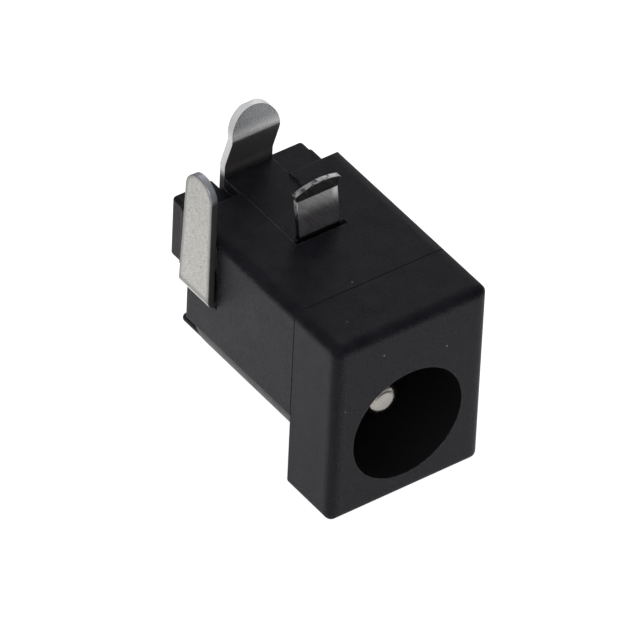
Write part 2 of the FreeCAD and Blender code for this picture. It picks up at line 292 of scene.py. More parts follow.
def make_edge_group():
    """Normal that turns smoothly over an edge, and a broken-up mask that is 1 on the edge."""
    group, source, sink = new_group(
        "softened edges",
        [
            ("Place", "NodeSocketVector", (0, 0, 0)),
            ("Radius", "NodeSocketFloat", 0.05 * MM),
            ("Breaks per metre", "NodeSocketFloat", 3000.0),
        ],
        [("Normal", "NodeSocketVector"), ("Wear", "NodeSocketFloat")],
    )
    bevel = put(group, "ShaderNodeBevel", samples=BEVEL_SAMPLES)
    bent = feed(group, bevel, Radius=source["Radius"]).outputs["Normal"]
    true_normal = put(group, "ShaderNodeNewGeometry").outputs["Normal"]
    agreement = vector_maths(group, "DOT_PRODUCT", bent, true_normal).outputs["Value"]
    edge = ramp(group, agreement, NO_TURN, FULL_TURN)
    breaks = noise(group, source["Place"], source["Breaks per metre"], Detail=3.0, Roughness=0.7)
    broken = ramp(group, breaks, 0.35, 0.6)
    feed(group, sink, Normal=bent, Wear=times(group, edge, broken))
    return group


edge_group = make_edge_group()
print("group:", edge_group.name)

# %% [markdown]
# Moulded grain
#
# The mould for a black connector body is spark eroded, which leaves a fine matte grain on every
# face. Up close it is a field of tiny rounded bumps a few hundredths of a millimetre across. A noise
# texture at that scale gives the height of the bumps. Two coarser ones make the sheen uneven: one
# mottles it like fine sand, and one lets it drift as it does where the plastic cooled unevenly. From
# where the camera stands the bumps are too small to show one by one. What the eye still sees of them
# is a speckle of their lit and shaded sides, so the group also puts out the mottling as a tone, which
# paints that light and shade.

# %% Shader group: moulded grain
GRAIN_HEIGHT = 0.06 * MM
MOTTLE_DENSITY = 0.65
DRIFT_DENSITY = 0.06
SHEEN_SWING = 0.06


def make_grain_group():
    """Grain for plastic: a normal, a roughness, a slow drift of tone and a fine speckle of painted
    light and shade.
    """
    group, source, sink = new_group(
        "moulded grain",
        [
            ("Place", "NodeSocketVector", (0, 0, 0)),
            ("Bumps per metre", "NodeSocketFloat", 14000.0),
            ("Depth", "NodeSocketFloat", 0.3),
            ("Mottle", "NodeSocketFloat", 0.3),
            ("Roughness", "NodeSocketFloat", 0.5),
            ("Normal", "NodeSocketVector", (0, 0, 0)),
        ],
        [
            ("Normal", "NodeSocketVector"),
            ("Roughness", "NodeSocketFloat"),
            ("Drift", "NodeSocketFloat"),
            ("Speckle", "NodeSocketFloat"),
        ],
    )
    place, density = source["Place"], source["Bumps per metre"]
    fine = noise(group, place, density, Detail=2.0, Roughness=0.6)
    slow = noise(group, place, times(group, density, DRIFT_DENSITY), Detail=3.0, Roughness=0.55)
    mottle = noise(group, place, times(group, density, MOTTLE_DENSITY), Detail=1.0, Roughness=0.6)
    height = maths(group, "MULTIPLY_ADD", mottle, source["Mottle"], fine)
    uneven = maths(group, "ADD", slow, mottle)
    wander = ramp(group, uneven, 0.7, 1.3, -SHEEN_SWING, SHEEN_SWING)
    feed(group, sink, Normal=relief(group, height, source["Depth"], GRAIN_HEIGHT, source["Normal"]))
    feed(group, sink, Roughness=maths(group, "ADD", source["Roughness"], wander))
    feed(group, sink, Drift=slow, Speckle=ramp(group, mottle, 0.38, 0.62))
    return group


grain_group = make_grain_group()
print("group:", grain_group.name)

# %% [markdown]
# Dust
#
# A few pale specks of dust lie on the black plastic. They could be modelled one by one, but each is
# thinner than a hair, so a mask is enough. Voronoi cells give one point each, a random number kept
# with each cell leaves most of them empty, and the distance to the point draws a round speck. Packed
# closely and drawn large, the same specks are the flecks in a plating.

# %% Shader group: dust specks


def make_dust_group():
    """Sparse specks: 1 on a speck and 0 elsewhere."""
    group, source, sink = new_group(
        "dust specks",
        [
            ("Place", "NodeSocketVector", (0, 0, 0)),
            ("Cells per metre", "NodeSocketFloat", 900.0),
            ("Share kept", "NodeSocketFloat", 0.1),
            ("Radius", "NodeSocketFloat", 0.04),
        ],
        [("Mask", "NodeSocketFloat")],
    )
    cells = put(group, "ShaderNodeTexVoronoi")
    feed(group, cells, Vector=source["Place"], Scale=source["Cells per metre"])
    chance = feed(group, put(group, "ShaderNodeSeparateColor"), Color=cells.outputs["Color"])
    kept = maths(group, "LESS_THAN", chance.outputs["Red"], source["Share kept"])
    size = times(group, chance.outputs["Green"], source["Radius"])
    inside = maths(group, "LESS_THAN", cells.outputs["Distance"], size)
    feed(group, sink, Mask=times(group, kept, inside))
    return group


dust_group = make_dust_group()
print("group:", dust_group.name)

# %% [markdown]
# Rolled and plated sheet
#
# The legs are stamped from thin copper alloy sheet that was rolled and then tin plated. Rolling
# leaves fine streaks along the strip, and the plating dries to tiny pebbles. Both are noise. The
# streaks are stretched by shrinking the coordinates along them, after a turn about the Y axis that
# lets them run slantwise over a leg, and the pebbles stay round.

# %% Shader group: plated sheet
SHEET_RELIEF = 0.02 * MM
SHEET_SWING = 0.06
TONE_LOW = 0.35
TONE_HIGH = 0.65


def make_sheet_group():
    """Streaks along one direction and round pebbles, as a bump normal, a roughness and a tone."""
    group, source, sink = new_group(
        "plated sheet",
        [
            ("Place", "NodeSocketVector", (0, 0, 0)),
            ("Streak squeeze", "NodeSocketVector", (1, 1, 1)),
            ("Slant", "NodeSocketFloat", 0.0),
            ("Streaks per metre", "NodeSocketFloat", 12000.0),
            ("Pebbles per metre", "NodeSocketFloat", 9000.0),
            ("Pebble share", "NodeSocketFloat", 0.5),
            ("Roughness", "NodeSocketFloat", 0.4),
            ("Depth", "NodeSocketFloat", 0.2),
            ("Normal", "NodeSocketVector", (0, 0, 0)),
        ],
        [
            ("Normal", "NodeSocketVector"),
            ("Roughness", "NodeSocketFloat"),
            ("Tone", "NodeSocketFloat"),
        ],
    )
    turned = put(group, "ShaderNodeVectorRotate", rotation_type="Y_AXIS")
    feed(group, turned, Vector=source["Place"], Angle=source["Slant"])
    squeezed = vector_maths(group, "MULTIPLY", turned.outputs["Vector"], source["Streak squeeze"])
    streaks = noise(
        group, squeezed.outputs["Vector"], source["Streaks per metre"], Detail=3.0, Roughness=0.6
    )
    pebbles = noise(group, source["Place"], source["Pebbles per metre"], Detail=2.0, Roughness=0.6)
    streak_part = times(group, streaks, opposite(group, source["Pebble share"]))
    height = maths(group, "MULTIPLY_ADD", pebbles, source["Pebble share"], streak_part)
    wander = ramp(group, height, TONE_LOW, TONE_HIGH, -SHEET_SWING, SHEET_SWING)
    feed(group, sink, Normal=relief(group, height, source["Depth"], SHEET_RELIEF, source["Normal"]))
    feed(group, sink, Roughness=maths(group, "ADD", source["Roughness"], wander))
    feed(group, sink, Tone=ramp(group, height, TONE_LOW, TONE_HIGH))
    return group


sheet_group = make_sheet_group()
print("group:", sheet_group.name)

# %% [markdown]
# Edges of the black plastic
#
# The long edges of the block and its front rim are polished rounder than the rest, so the softening
# is wide there, fine at a slot, and least at the seam that runs round the block. A worn mould also
# eases its faces a little before the rounding starts, which draws a dark band along each edge. The
# solid could carry that band, but its outline would shrink, so a bump that falls away towards the
# edge bends only the normal.

# %% Where the plastic's edges lie
BOARD_PLANE = 6.6 * MM
HALF_WIDTH = 4.5 * MM
MOUTH_RADIUS = 3.25 * MM
LONG_EDGES_END = 10.2 * MM
WIDE_FROM = 0.9 * MM
WIDE_FULL = 0.5 * MM
SEAM_EDGE = 0.01 * MM
TOP_SEAM_EDGE = 0.05 * MM
FINE_EDGE = 0.04 * MM
WIDE_EDGE = 0.3 * MM
EASE_START = 0.65 * MM
EASE_STEP = 0.25 * MM
EASE_DEPTH = 0.025 * MM


def edge_gaps(tree, across, along, up):
    """How far a point lies from the nearer side wall, the board face and the front face."""
    to_side = minus(tree, HALF_WIDTH, maths(tree, "ABSOLUTE", across))
    return to_side, minus(tree, BOARD_PLANE, up), along


def edge_softness(tree, gaps, from_axis, clear_of_seam):
    """Softening radius: wide at the long edges and front rim, fine elsewhere, least at the seam."""
    near_side, near_top, near_front = (ramp(tree, gap, WIDE_FROM, WIDE_FULL) for gap in gaps)
    outside_mouth = ramp(tree, from_axis, MOUTH_RADIUS + 0.1 * MM, MOUTH_RADIUS + 0.3 * MM)
    before_rear = ramp(tree, gaps[2], LONG_EDGES_END, LONG_EDGES_END - 0.6 * MM)
    long_edges = times(tree, near_side, near_top, clear_of_seam, before_rear)
    wide = maths(tree, "MAXIMUM", long_edges, times(tree, near_front, outside_mouth))
    seam_edge = pick(tree, near_top, SEAM_EDGE, TOP_SEAM_EDGE)
    return pick(tree, wide, pick(tree, clear_of_seam, seam_edge, FINE_EDGE), WIDE_EDGE)


def ease_edges(tree, gaps, normal, strength):
    """Normal that starts to turn before the rounding of the long edges and the front rim."""
    drop = 0.0
    for gap in gaps:
        near = maths(tree, "MAXIMUM", minus(tree, EASE_START, gap), 0.0)
        step = times(tree, near, 1.0 / EASE_STEP)
        drop = maths(tree, "ADD", drop, times(tree, step, step))
    return relief(tree, times(tree, drop, -1.0), strength, EASE_DEPTH, normal)


print("plastic edges:", WIDE_EDGE / MM, "mm wide at the rim,", FINE_EDGE / MM, "mm elsewhere")

# %% [markdown]
# Black plastic
#
# The body is nearly black all through, so almost everything that shows on it is reflection: the
# white floor in its side and front, and the dimmer room in its board side. That needs a dark base
# colour, a middling roughness and a low specular level. The front half of the mould has the coarser
# grain. The speckle paints the grain's light and shade as a tone: it is strong on the upright walls,
# where the light from the floor brings the grain out, and faint on the board side and the rounded
# edges. Dust specks lift the colour where they lie, and the bore is a little paler than the outside.
# The thin pale line along the edges is rubbed wear with a painted highlight, and the seam is painted
# lighter where it crosses the board side, which lifts the shade in its groove. Each of these is a
# coat of colour, and a mask says where it lies.

# %% Coats of colour


def layered(tree, colour, *coats):
    """Lay coats of colour over each other, each given as its amount and its colour."""
    for amount, coat in coats:
        colour = blend(tree, amount, colour, coat)
    return colour


print("coats of colour ready")

# %% Blacks of the plastic
SEAM = 3.5 * MM
SEAM_CLEAR_FROM = 0.15 * MM
SEAM_CLEAR_FULL = 0.35 * MM
DEEPEST_BLACK = (0.0016, 0.0015, 0.0031, 1.0)
PALEST_BLACK = (0.0460, 0.0445, 0.0530, 1.0)
# painted light: a paler black in the seam groove on the board side, which lifts the groove's shade
SEAM_LIGHTENED_BLACK = (0.017, 0.016, 0.02, 1.0)
BORE_BLACK = (0.0085, 0.0078, 0.0082, 1.0)
# rubbed wear and a painted highlight: a pale line along the edges of the black plastic
RUBBED_AND_HIGHLIGHT_GREY = grey(0.11)
DUST_GREY = grey(0.25)
# strength of the speckle, which paints the light and shade of the grain bumps, strongest on the walls
FAINT_SPECKLE = 0.06
WALL_SPECKLE = 0.75


def bore_mask(tree, from_axis, along):
    """1 inside the bore and 0 outside it."""
    within = maths(tree, "LESS_THAN", from_axis, MOUTH_RADIUS + 0.02 * MM)
    return times(tree, within, ramp(tree, along, 0.0, 0.1 * MM))


def seam_mask(tree, seam_gap, up):
    """1 in the seam on the board side, where painted light lifts its shade, and 0 elsewhere."""
    in_seam = ramp(tree, seam_gap, 0.05 * MM, 0.03 * MM)
    on_top = ramp(tree, up, BOARD_PLANE - 0.3 * MM, BOARD_PLANE - 0.05 * MM)
    return times(tree, in_seam, on_top)


def speckled_black(tree, grain, on_walls):
    """Black that drifts slowly, with a speckle of painted light and shade that is strong on the
    walls.
    """
    cloudy = ramp(tree, grain.outputs["Drift"], 0.3, 0.7, 0.04, 0.19)
    apart = minus(tree, grain.outputs["Speckle"], 0.5)
    strength = pick(tree, on_walls, FAINT_SPECKLE, WALL_SPECKLE)
    tone = maths(tree, "MULTIPLY_ADD", apart, strength, cloudy, clamp=True)
    return blend(tree, tone, DEEPEST_BLACK, PALEST_BLACK)


print("blacks ready, seam at", SEAM / MM, "mm")

# %% Material: black plastic
WALL_FROM = 0.93
WALL_FULL = 0.995
PLASTIC_GRAIN = 17000.0
PLASTIC_ROUGHNESS = 0.36
PLASTIC_GLOSS = 0.17
PLASTIC_TINT = (0.91, 0.87, 1.0, 1.0)
FRONT_GRAIN = 0.6
REAR_GRAIN = 0.4
WALL_MOTTLE = 0.15
EDGE_LINE_RADIUS = 0.06 * MM


def make_plastic():
    """Matte black moulding with grain, a little dust, and painted light in its speckle, edge lines
    and seam.
    """
    material, tree, shader, place = new_material("black plastic")
    across, along, up = axes(tree, place)
    gaps = edge_gaps(tree, across, along, up)
    from_axis = flat_length(tree, across, up)
    seam_gap = gap_to(tree, along, SEAM)
    clear_of_seam = ramp(tree, seam_gap, SEAM_CLEAR_FROM, SEAM_CLEAR_FULL)
    in_bore = bore_mask(tree, from_axis, along)
    outside = opposite(tree, in_bore)
    squarest = maths(tree, "MAXIMUM", facing(tree, "X"), facing(tree, "Y"))
    on_walls = ramp(tree, squarest, WALL_FROM, WALL_FULL)

    radius = edge_softness(tree, gaps, from_axis, clear_of_seam)
    edges = use_group(tree, edge_group, Place=place, Radius=radius)
    sharp = use_group(tree, edge_group, Place=place, Radius=EDGE_LINE_RADIUS)
    grain = use_group(tree, grain_group, Place=place, Bumps_per_metre=PLASTIC_GRAIN)
    depth = ramp(tree, along, SEAM, SEAM + 0.05 * MM, FRONT_GRAIN, REAR_GRAIN)
    feed(tree, grain, Roughness=PLASTIC_ROUGHNESS, Depth=depth)
    feed(tree, grain, Mottle=pick(tree, on_walls, 0.0, WALL_MOTTLE))
    feed(tree, grain, Normal=ease_edges(tree, gaps, edges.outputs["Normal"], outside))
    dust = use_group(tree, dust_group, Place=place, Cells_per_metre=1000.0)
    feed(tree, dust, Share_kept=0.4, Radius=0.05)

    colour = layered(
        tree,
        speckled_black(tree, grain, on_walls),
        (seam_mask(tree, seam_gap, up), SEAM_LIGHTENED_BLACK),
        (in_bore, BORE_BLACK),
        (times(tree, sharp.outputs["Wear"], clear_of_seam), RUBBED_AND_HIGHLIGHT_GREY),
        (times(tree, dust.outputs["Mask"], outside), DUST_GREY),
    )
    feed(tree, shader, Base_Color=colour, Roughness=grain.outputs["Roughness"])
    feed(tree, shader, Normal=grain.outputs["Normal"], Specular_IOR_Level=PLASTIC_GLOSS)
    feed(tree, shader, Specular_Tint=PLASTIC_TINT)
    return material


plastic = make_plastic()
print("material:", plastic.name)

# %% [markdown]
# Plated metals
#
# All the metal is the same idea with different values: a metallic shader whose colour, roughness and
# normal come from the sheet group. The squeeze is small along the strip's length, so the streaks run
# that way. Each terminal then gets what its own making left on it, and painted light and shade as
# noted with each. A cut edge looks unlike the face of the sheet, and it is found by the direction in
# which the surface faces, since the parts never turn. Bends carry a painted highlight, and they lie
# at known heights above the board.

# %% Start of every plated metal
UPRIGHT = (1.0, 1.0, 0.06)
PUNCHED_EDGE = 0.07 * MM
SHEET_DEPTH = 0.35


def start_metal(name, dark, light, roughness, squeeze, pebble_share, slant=0.0, radius=PUNCHED_EDGE):
    """Metallic material with streaks along the axis whose squeeze is small, and its main parts."""
    material, tree, shader, place = new_material(name)
    across, along, up = axes(tree, place)
    edges = use_group(tree, edge_group, Place=place, Radius=radius)
    sheet = use_group(tree, sheet_group, Place=place, Streak_squeeze=squeeze, Roughness=roughness)
    feed(tree, sheet, Pebble_share=pebble_share, Slant=slant, Depth=SHEET_DEPTH)
    feed(tree, sheet, Normal=edges.outputs["Normal"])
    colour = blend(tree, sheet.outputs["Tone"], dark, light)
    feed(tree, shader, Base_Color=colour, Roughness=sheet.outputs["Roughness"])
    feed(tree, shader, Normal=sheet.outputs["Normal"], Metallic=1.0)
    return SimpleNamespace(
        material=material, tree=tree, shader=shader, place=place, edges=edges, sheet=sheet,
        colour=colour, across=across, along=along, up=up,
    )


def cut_edges(tree, axis, face, edge):
    """1 where the surface turns away from the axis that the sheet faces, as its cut edges do."""
    return ramp(tree, facing(tree, axis), face, edge)


print("streaks run upright, squeezed by", UPRIGHT)

# %% [markdown]
# Frost in the tin
#
# Tin that sets slowly on the sheet crystallises, and its grain borders show as thin wandering lines,
# like frost on a window. A noise texture passes through its middle value along just such lines, so a
# narrow band about that value is the mask.

# %% Shader group: frost curls


def make_frost_group():
    """Thin wandering lines: 1 on a line and 0 between lines."""
    group, source, sink = new_group(
        "frost curls",
        [
            ("Place", "NodeSocketVector", (0, 0, 0)),
            ("Curls per metre", "NodeSocketFloat", 5000.0),
            ("Line width", "NodeSocketFloat", 0.04),
        ],
        [("Mask", "NodeSocketFloat")],
    )
    field = noise(
        group, source["Place"], source["Curls per metre"], Detail=1.0, Roughness=0.5, Distortion=1.2
    )
    feed(group, sink, Mask=ramp(group, gap_to(group, field, 0.5), source["Line width"], 0.0))
    return group


frost_group = make_frost_group()
print("group:", frost_group.name)

# %% [markdown]
# The side leg
#
# This leg is the palest metal of the part, a matte and nearly white tin full of frost. The punch
# rolled its border over, and painted shade darkens a band inside the whole outline there. The band
# could be painted along the mesh's edges, but the outline is simple: a strip that widens downwards
# with a round tip, so the distance from a middle line gives it. The foot is folded under, and the
# fold has a strip of painted shade with a painted highlight along the rim below it. The sheared edge
# is dull, with painted shade along the straight, and bare and bluish round the tip.

# %% Outline of the side leg
SIDE_MIDDLE = 11.035 * MM
SIDE_HALF_WIDTH = 1.085 * MM
SIDE_ARC = 8.87 * MM
SIDE_TAPER = 0.0235


def inside_outline(tree, along, up):
    """How far a point on the side leg's face lies inside its outline, round the tip too."""
    below = maths(tree, "MAXIMUM", minus(tree, SIDE_ARC, up), 0.0)
    above = maths(tree, "MAXIMUM", minus(tree, up, SIDE_ARC), 0.0)
    widening = times(tree, below, SIDE_TAPER)
    middle = maths(tree, "ADD", widening, SIDE_MIDDLE)
    half = maths(tree, "ADD", widening, SIDE_HALF_WIDTH)
    return minus(tree, half, flat_length(tree, minus(tree, along, middle), above))


print("side leg", 2 * SIDE_HALF_WIDTH / MM, "mm wide at its tip")

# %% Material: frosted tin of the side leg
FROSTED_DARK = (0.475, 0.465, 0.44, 1)
FROSTED_LIGHT = (0.66, 0.65, 0.62, 1)
FROST_LINE = (0.34, 0.325, 0.3, 1)
BARE_CUT = (0.66, 0.69, 0.76, 1)
# painted shade on the rolled-over border inside the outline
BORDER_SHADE_GREY = grey(0.22)
# painted shade on the fold of the foot
FOLD_SHADE_GREY = grey(0.2)
# painted highlight along the rim under the fold
RIM_HIGHLIGHT_GREY = grey(0.95)
# painted shade on the sheared edge along the straight, where it faces the black body
SHEARED_SHADE_GREY = grey(0.09)
SHEARED_CORNER = grey(0.6)
SIDE_EDGE = 0.13 * MM
BORDER_WIDTH = 0.24 * MM
BORDER_CORE = 0.08 * MM
FOLD_TOP = 3.07 * MM
FOLD_FULL = 2.87 * MM
RIM_TOP = 2.67 * MM
RIM_FULL = 2.59 * MM
SHEAR_TOP = BOARD_PLANE + 2.5 * MM
SHEAR_FULL = BOARD_PLANE + 2.3 * MM


def make_side_tin():
    """Frosted white tin with dull cut edges, painted shade on its border, fold and straight cut edge,
    and a painted highlight on the rim under the fold.
    """
    metal = start_metal(
        "matte tin plate", FROSTED_DARK, FROSTED_LIGHT, 0.34, UPRIGHT, 0.7, radius=SIDE_EDGE
    )
    tree, up = metal.tree, metal.up
    curls = use_group(tree, frost_group, Place=metal.place, Curls_per_metre=4200.0, Line_width=0.05)
    border_shade = ramp(tree, inside_outline(tree, metal.along, up), BORDER_WIDTH, BORDER_CORE, 0.0, 0.62)
    cut = cut_edges(tree, "X", 0.5, 0.3)
    sheared = times(tree, cut, ramp(tree, up, SHEAR_TOP, SHEAR_FULL))
    colour = layered(
        tree,
        metal.colour,
        (times(tree, curls.outputs["Mask"], 0.8), FROST_LINE),
        (border_shade, BORDER_SHADE_GREY),
        (ramp(tree, up, FOLD_TOP, FOLD_FULL, 0.0, 0.6), FOLD_SHADE_GREY),
        (ramp(tree, up, RIM_TOP, RIM_FULL), RIM_HIGHLIGHT_GREY),
        (times(tree, minus(tree, cut, sheared), 0.85), BARE_CUT),
        (sheared, SHEARED_SHADE_GREY),
        (times(tree, sheared, metal.edges.outputs["Wear"], 0.15), SHEARED_CORNER),
    )
    rough = maths(tree, "MULTIPLY_ADD", sheared, 0.15, metal.sheet.outputs["Roughness"])
    metallic = pick(tree, sheared, 1.0, 0.7)
    feed(tree, metal.shader, Base_Color=colour, Roughness=rough, Metallic=metallic)
    return metal.material


side_tin = make_side_tin()
print("material:", side_tin.name)

# %% [markdown]
# The rear leg
#
# Its tin has a satin sheen. The head above the crease is flecked, the bending tool burnished the
# sheet just above the crease, where the colour also carries a painted highlight along the bend, and
# below it the smooth sheet mirrors the black top of the body. The cut edges are bright, because the
# sheared metal was plated over. None of this has a shape of its own, so masks by height and by
# facing are enough. Where the leg goes down behind the wall, painted shade darkens the colour.

# %% Material: satin tin of the rear leg
REAR_CREASE = BOARD_PLANE + 2.45 * MM
CREASE_BLUR = 0.05 * MM
BURNISH_HIGHLIGHT_TOP = REAR_CREASE + 0.7 * MM
BURNISH_HIGHLIGHT_FULL = REAR_CREASE + 0.15 * MM
SUNK_SHADE_FROM = BOARD_PLANE + 0.3 * MM
SUNK_SHADE_FULL = BOARD_PLANE - 0.2 * MM
SATIN_DARK = (0.5, 0.51, 0.535, 1)
SATIN_LIGHT = (0.76, 0.77, 0.8, 1)
SATIN_SMOOTH = (0.58, 0.55, 0.56, 1)
FLECK_GREY = grey(0.78)
# painted highlight along the bend, over the burnished band above the crease
BURNISH_HIGHLIGHT_GREY = grey(0.97)
PLATED_CUT = grey(0.93)
# painted shade where the leg goes down behind the wall, below the board face
SUNK_SHADE_GREY = grey(0.08)


def make_rear_tin():
    """Satin tin: flecked head, burnished crease with a painted highlight, smooth below, bright cut
    edges, painted shade low down.
    """
    metal = start_metal("satin tin plate", SATIN_DARK, SATIN_LIGHT, 0.3, UPRIGHT, 0.6)
    tree, up = metal.tree, metal.up
    head = ramp(tree, up, REAR_CREASE - CREASE_BLUR, REAR_CREASE + CREASE_BLUR)
    smooth = opposite(tree, head)
    burnish_highlight = times(tree, ramp(tree, up, BURNISH_HIGHLIGHT_TOP, BURNISH_HIGHLIGHT_FULL), head)
    grained = minus(tree, head, burnish_highlight)
    cut = cut_edges(tree, "Y", 0.6, 0.4)
    feed(tree, metal.sheet, Depth=pick(tree, grained, 0.03, 0.55))
    flecks = use_group(tree, dust_group, Place=metal.place, Cells_per_metre=6500.0)
    feed(tree, flecks, Share_kept=0.35, Radius=0.55)
    colour = layered(
        tree,
        metal.colour,
        (smooth, SATIN_SMOOTH),
        (times(tree, flecks.outputs["Mask"], 0.7, grained), FLECK_GREY),
        (burnish_highlight, BURNISH_HIGHLIGHT_GREY),
        (cut, PLATED_CUT),
        (ramp(tree, up, SUNK_SHADE_FROM, SUNK_SHADE_FULL), SUNK_SHADE_GREY),
    )
    rough = maths(tree, "MULTIPLY_ADD", cut, 0.12, metal.sheet.outputs["Roughness"])
    rough = maths(tree, "MULTIPLY_ADD", smooth, 0.1, rough)
    matte = maths(tree, "MAXIMUM", cut, times(tree, burnish_highlight, 0.7))
    metallic = pick(tree, matte, 1.0, 0.5)
    feed(tree, metal.shader, Base_Color=colour, Roughness=rough, Metallic=metallic)
    return metal.material


rear_tin = make_rear_tin()
print("material:", rear_tin.name)

# %% [markdown]
# The middle leg
#
# The press hollowed this leg slightly under its crease, and a painted highlight fades downwards
# there. The hollow is too shallow to model and a bump gives it, with the streaks turned slantwise as
# the brush went. Painted shade darkens the bent head, the lower part and the foot of the leg at the
# slot. The cut edges are pitted, with painted shade towards the board, and a bright nick sits on the
# right edge under the crease.

# %% Hollow, painted highlight and painted shade of the middle leg
MIDDLE_CREASE = BOARD_PLANE + 2.0 * MM
HOLLOW_REACH = 1.0 * MM
HOLLOW_DEPTH = 0.34 * MM
# painted highlight in the hollow under the crease
HOLLOW_HIGHLIGHT_GREY = grey(1.0)
LOWER_SHADE_TOP = MIDDLE_CREASE - 0.5 * MM
LOWER_SHADE_FULL = MIDDLE_CREASE - 1.2 * MM
# painted shade on the lower part of the middle leg
LOWER_SHADE_GREY = (0.27, 0.25, 0.275, 1.0)


def hollow_and_highlight(metal, under):
    """Hollow the sheet under the crease and paint a highlight there, more so towards the right, with
    painted shade lower down.
    """
    tree, up = metal.tree, metal.up
    rise = ramp(tree, up, MIDDLE_CREASE - HOLLOW_REACH, MIDDLE_CREASE)
    depth = opposite(tree, times(tree, rise, rise))
    hollow = relief(tree, depth, 1.0, HOLLOW_DEPTH, metal.edges.outputs["Normal"])
    feed(tree, metal.sheet, Normal=hollow)
    towards_right = ramp(tree, metal.across, -1.2 * MM, 1.3 * MM, 0.2, 1.0)
    hollow_highlight = times(tree, rise, under, towards_right)
    lower_shade = times(tree, opposite(tree, hollow_highlight), ramp(tree, up, LOWER_SHADE_TOP, LOWER_SHADE_FULL, 0.2, 0.75))
    return layered(
        tree, metal.colour, (times(tree, hollow_highlight, 0.85), HOLLOW_HIGHLIGHT_GREY), (lower_shade, LOWER_SHADE_GREY)
    )


print("middle crease", round((MIDDLE_CREASE - BOARD_PLANE) / MM, 2), "mm above the board face")

# %% Pits, painted shade on the cut edges, and nick of the middle leg
PITS_PER_METRE = 3400.0
PIT_GREY = grey(0.1)
BETWEEN_PITS = grey(0.66)
CUT_SHADE_TOP = BOARD_PLANE + 1.35 * MM
CUT_SHADE_FULL = BOARD_PLANE + 0.95 * MM
# painted shade on the cut edges towards the board face
CUT_SHADE_GREY = grey(0.07)
NICK_FROM = 0.95 * MM
NICK_FULL = 1.15 * MM
NICK_GREY = grey(0.8)


def pitted_cut(metal, cut):
    """Colour of the cut edges, which the worn tool left rough and pitted."""
    tree = metal.tree
    feed(tree, metal.sheet, Depth=pick(tree, cut, SHEET_DEPTH, 1.0))
    feed(tree, metal.sheet, Pebble_share=pick(tree, cut, 0.15, 0.9))
    pits = noise(tree, metal.place, PITS_PER_METRE, Detail=4.0, Roughness=0.7)
    return blend(tree, ramp(tree, pits, 0.4, 0.54), PIT_GREY, BETWEEN_PITS)


def nick_mask(metal, under):
    """1 on the bright nick at the right edge under the crease."""
    tree = metal.tree
    at_right = ramp(tree, metal.across, NICK_FROM, NICK_FULL)
    rising = ramp(tree, metal.up, MIDDLE_CREASE - 0.7 * MM, MIDDLE_CREASE - 0.2 * MM)
    return times(tree, at_right, rising, under)


print("pits:", PITS_PER_METRE * MM, "per mm")

# %% Material: brushed tin of the middle leg
BRUSH_SLANT = math.radians(35)
WORN_DARK = (0.3, 0.295, 0.3, 1)
WORN_LIGHT = (0.66, 0.65, 0.66, 1)
# painted shade on the bent head above the crease
HEAD_SHADE_GREY = grey(0.15)
SLOT_SHADE = grey(0.03)


def make_worn_tin():
    """Brushed tin: hollow under the crease with a painted highlight, painted shade on the head, the
    lower part, the slot and the cut edges near the board, and pitted cut edges.
    """
    metal = start_metal(
        "rolled tin plate", WORN_DARK, WORN_LIGHT, 0.36, UPRIGHT, 0.15, slant=BRUSH_SLANT
    )
    tree, up = metal.tree, metal.up
    under = maths(tree, "LESS_THAN", up, MIDDLE_CREASE)
    cut = cut_edges(tree, "Y", 0.6, 0.4)
    nick = nick_mask(metal, under)
    colour = layered(
        tree,
        hollow_and_highlight(metal, under),
        (times(tree, opposite(tree, under), 0.5), HEAD_SHADE_GREY),
        (cut, pitted_cut(metal, cut)),
        (times(tree, cut, ramp(tree, up, CUT_SHADE_TOP, CUT_SHADE_FULL)), CUT_SHADE_GREY),
        (ramp(tree, up, BOARD_PLANE + 0.1 * MM, BOARD_PLANE - 0.02 * MM), SLOT_SHADE),
        (nick, NICK_GREY),
    )
    rough = maths(tree, "MULTIPLY_ADD", under, 0.14, metal.sheet.outputs["Roughness"])
    metallic = pick(tree, nick, 1.0, 0.4)
    feed(tree, metal.shader, Base_Color=colour, Roughness=rough, Metallic=metallic)
    return metal.material


worn_tin = make_worn_tin()
print("material:", worn_tin.name)

# %% [markdown]
# The pin
#
# The pin is turned brass with a bright nickel plating. The turning tool left a ring round the tip,
# and the ring is darker on its upper side. The ring is shallower than a hair, so it is drawn by the
# distance from the pin's axis.

# %% Material: nickel of the pin
TURNED = (1.0, 0.1, 1.0)
NICKEL_DARK = (0.42, 0.4, 0.37, 1)
NICKEL_LIGHT = (0.54, 0.52, 0.49, 1)
TIP_RING = 0.56 * MM
TIP_RING_WIDTH = 0.11 * MM
RING_DARK_FROM = 0.2 * MM
RING_DARK_FULL = 0.5 * MM
TIP_RING_DARK_GREY = grey(0.05)


def make_nickel():
    """Bright nickel with a ring round the tip that is darker on its upper side."""
    metal = start_metal("nickel plate", NICKEL_DARK, NICKEL_LIGHT, 0.16, TURNED, 0.3)
    tree = metal.tree
    from_ring = gap_to(tree, flat_length(tree, metal.across, metal.up), TIP_RING)
    ring = ramp(tree, from_ring, TIP_RING_WIDTH, 0.4 * TIP_RING_WIDTH)
    ring_dark = times(tree, ring, ramp(tree, metal.up, RING_DARK_FROM, RING_DARK_FULL), 0.85)
    feed(tree, metal.shader, Base_Color=blend(tree, ring_dark, metal.colour, TIP_RING_DARK_GREY))
    return metal.material


nickel = make_nickel()
print("material:", nickel.name)

# %% [markdown]
# Dressing the nodes
#
# The engineering model already has every shape of the jack, so the scene adds none. Each piece of
# the model keeps its mesh and gets one material, as each real piece is made of one stuff.

# %% Dress the frame's nodes


def dress(node, material):
    """Give a carried-over node one material."""
    slots = nodes[node].data.materials
    slots.clear()
    slots.append(material)


